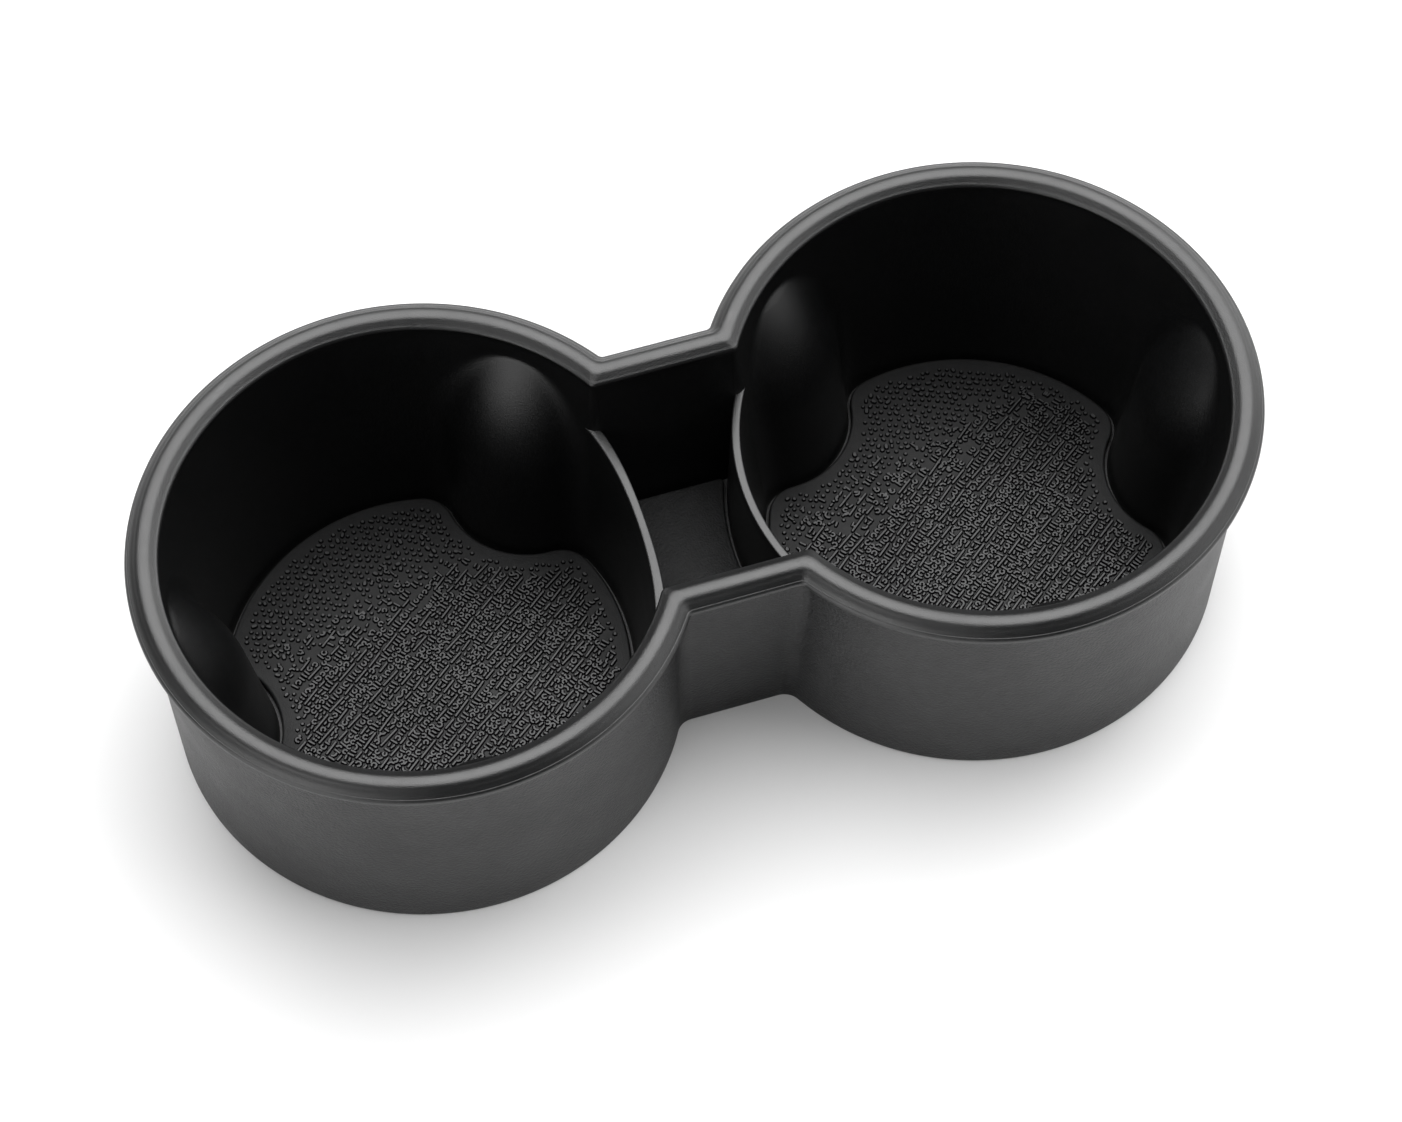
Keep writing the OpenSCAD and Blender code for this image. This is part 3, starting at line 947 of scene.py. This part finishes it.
def softbox(name, place, aim, size, power):
    """A rectangular lamp at a place, turned towards a point, in metres and watts."""
    lamp = bpy.data.lights.new(name, "AREA")
    lamp.shape = "RECTANGLE"
    lamp.size, lamp.size_y = size
    lamp.energy = power
    obj = bpy.data.objects.new(name, lamp)
    place, aim = Vector(place), Vector(aim)
    obj.location = place
    obj.rotation_euler = (aim - place).to_track_quat("-Z", "Y").to_euler()
    bpy.context.scene.collection.objects.link(obj)


def panel_glow(tree, direction, towards, strength, inner, outer):
    """Glow of a soft panel far away: full within the inner angle, gone at the outer one."""
    aim = Vector(towards).normalized()
    near = add(tree, "ShaderNodeVectorMath", [(0, direction), (1, aim)], operation="DOT_PRODUCT")
    low, high = math.cos(math.radians(outer)), math.cos(math.radians(inner))
    return spread(tree, near.outputs["Value"], low, high, 0.0, strength)


def add_world():
    """Pale to the camera. As a light: a pale ring of surroundings, darker at the front, with soft
    panels low at the back right, the front left and the front right."""
    world = bpy.data.worlds.new("studio")
    bpy.context.scene.world = world
    world.use_nodes = True
    tree = world.node_tree
    tree.nodes.clear()
    direction = tree.nodes.new("ShaderNodeTexCoord").outputs["Generated"]
    split = add(tree, "ShaderNodeSeparateXYZ", [(0, direction)]).outputs
    ring = spread(tree, split["Z"], RING_FADE[0], RING_FADE[1], RING_GLOW, 0.0)
    away = spread(tree, split["Y"], -0.9, -0.2, FRONT_SHARE, 1.0)
    glow = maths(tree, "ADD", maths(tree, "MULTIPLY", ring, away), WORLD_BASE)
    for panel in PANELS:
        glow = maths(tree, "ADD", glow, panel_glow(tree, direction, *panel))
    seen = add(tree, "ShaderNodeBackground", [("Color", (1, 1, 1, 1)), ("Strength", 1.0)])
    given = add(tree, "ShaderNodeBackground", [("Color", (1, 1, 1, 1)), ("Strength", glow)])
    path = tree.nodes.new("ShaderNodeLightPath")
    mix = add(tree, "ShaderNodeMixShader", [
        (0, path.outputs["Is Camera Ray"]), (1, given.outputs[0]), (2, seen.outputs[0]),
    ])
    out = tree.nodes.new("ShaderNodeOutputWorld")
    tree.links.new(mix.outputs[0], out.inputs["Surface"])


def add_floor():
    """White table, a hair under the tray, that keeps the shadow."""
    bm = bmesh.new()
    bmesh.ops.create_grid(bm, x_segments=2, y_segments=2, size=6.0)
    mesh = bpy.data.meshes.new("floor")
    bm.to_mesh(mesh)
    bm.free()
    floor = bpy.data.objects.new("floor", mesh)
    floor.location.z = -0.0001
    bpy.context.scene.collection.objects.link(floor)
    material = bpy.data.materials.new("white table")
    material.use_nodes = True
    tree = material.node_tree
    shader = tree.nodes["Principled BSDF"]
    shader.inputs["Base Color"].default_value = (TABLE_TONE, TABLE_TONE, TABLE_TONE, 1)
    shader.inputs["Roughness"].default_value = 0.9
    shader.inputs["Specular IOR Level"].default_value = 0.0
    path = tree.nodes.new("ShaderNodeLightPath")
    strength = maths(tree, "MULTIPLY", path.outputs["Is Camera Ray"], TABLE_LIFT)
    lift = add(tree, "ShaderNodeEmission", [("Color", (1, 1, 1, 1)), ("Strength", strength)])
    both = add(tree, "ShaderNodeAddShader", [(0, shader.outputs[0]), (1, lift.outputs[0])])
    tree.links.new(both.outputs[0], tree.nodes["Material Output"].inputs["Surface"])
    mesh.materials.append(material)


# ---------------------------------------------------------------- building
skirt_finish = moulded("skirt grain", (0.003, 0.0032, 0.0034), (0.012, 0.0124, 0.013),
                       (0.38, 0.5), 1900.0, 0.00024, 0.4, 0.1)
rim_finish = moulded("rim satin", (0.002, 0.0021, 0.0022), (0.0045, 0.0047, 0.005),
                     (0.28, 0.42), 3600.0, 0.00006, 0.4, 0.35, shine=0.72, softness=0.7)
wall_finish = moulded("wall gloss", (0.0012, 0.0013, 0.0014), (0.0022, 0.0023, 0.0025),
                      (0.33, 0.42), 3200.0, 0.00005, 0.2, 0.1, softness=0.8)
mat_finish = moulded("mat rubber", (0.004, 0.0041, 0.0043), (0.007, 0.0072, 0.0075),
                     (0.48, 0.6), 3600.0, 0.00006, 0.2, 0.05, shine=0.31)
# Mark tops: lighter than the mat's face, a painted highlight on each mark
painted_highlight_top_finish = moulded("mark tops with painted highlight", (0.008, 0.0082, 0.0085), (0.018, 0.0184, 0.019),
                      (0.28, 0.42), 5200.0, 0.00002, 0.2, 0.05, shine=0.42)
# Mark flanks: near black and almost without shine, painted shade round each mark
painted_shade_flank_finish = moulded("mark flanks with painted shade", (0.002, 0.002, 0.0022), (0.003, 0.003, 0.0033),
                       (0.7, 0.8), 5200.0, 0.00001, 0.0, 0.05, shine=0.05)
middle_finish = moulded("middle mat rubber", (0.004, 0.0041, 0.0043), (0.008, 0.0082, 0.0085),
                        (0.48, 0.62), 2600.0, 0.00016, 0.4, 0.05, shine=0.22)

working = bmesh.new()
tray_shell(working)
tray = finish_mesh("moulded_tray", working, [skirt_finish, rim_finish, wall_finish], 40)
soften = tray.modifiers.new("soften", "BEVEL")
soften.limit_method = "WEIGHT"
soften.width = PARTITION_ROUND * MM
soften.segments = 3
soften.use_clamp_overlap = True
apply_modifiers(tray)
hollow_underside(tray)
tray.data.shade_smooth()
tray.data.set_sharp_from_angle(angle=math.radians(40))
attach(tray, "root")
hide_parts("tray")

for mat_name, node_name, side, seed in (
    ("embossed_mat_left", "left_mat", -1, 11), ("embossed_mat_right", "right_mat", 1, 23),
):
    mat = cup_mat(mat_name, side, seed, [mat_finish, painted_highlight_top_finish, painted_shade_flank_finish])
    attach(mat, "root")
    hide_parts(node_name)

working = bmesh.new()
slab(working, middle_outline, MIDDLE_FLOOR, MIDDLE_FLOOR + MAT_T, MAT_ROUND)
middle = finish_mesh("plain_mat_middle", working, [middle_finish], 40)
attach(middle, "root")
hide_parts("middle_mat")

add_camera()
add_world()
add_floor()
softbox("key", *KEY_LAMP)

scene = bpy.context.scene
scene.view_settings.view_transform = "Standard"
